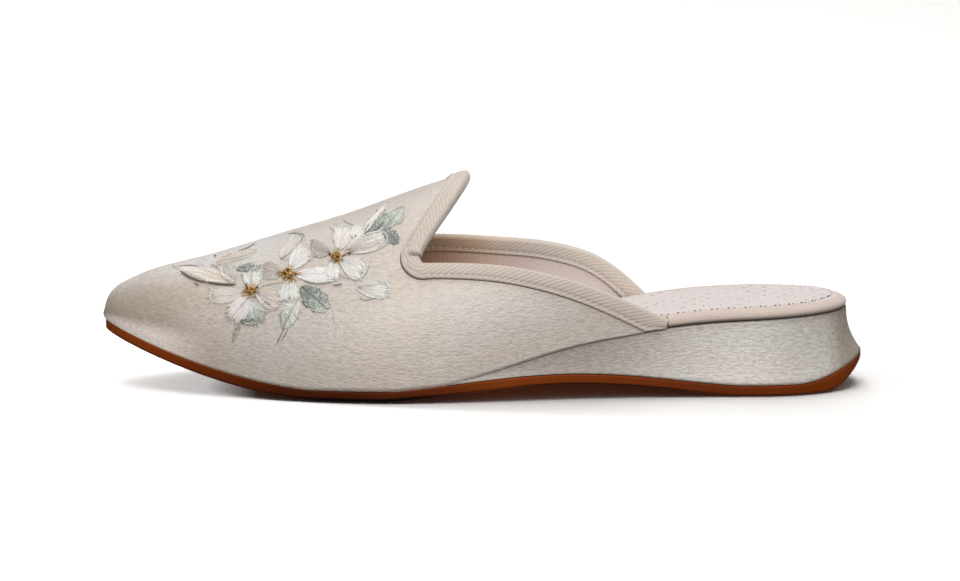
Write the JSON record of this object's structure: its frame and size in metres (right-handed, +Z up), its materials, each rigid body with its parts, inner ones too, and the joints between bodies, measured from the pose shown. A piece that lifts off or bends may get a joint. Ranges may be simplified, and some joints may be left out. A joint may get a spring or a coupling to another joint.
{
  "type": "embroidered slipper",
  "caption": "Backless pointed-toe satin slipper with floral embroidery, tape-bound collar, raised tongue, padded insole and low covered wedge on a thin rubber sole.",
  "frame": {"origin": "centre of the slipper's box, on the floor that its sole stands on", "axes": "+X from toe to heel, +Y to the inner (medial) side of the left foot, +Z up"},
  "size_m": [0.2519, 0.0806, 0.0698],
  "materials": {
    "outsole_rubber": "smooth chestnut rubber, satin gloss",
    "wedge_satin": "silvery ivory satin",
    "upper_satin": "ivory satin with thread embroidery",
    "binding_tape": "beige twill tape",
    "insole_cloth": "pale pinkish woven cloth, stitched"
  },
  "bodies": {
    "root": {"outsole": "outsole_rubber", "wedge": "wedge_satin", "upper": "upper_satin", "collar_binding": "binding_tape", "insole": "insole_cloth"}
  },
  "joints": []
}
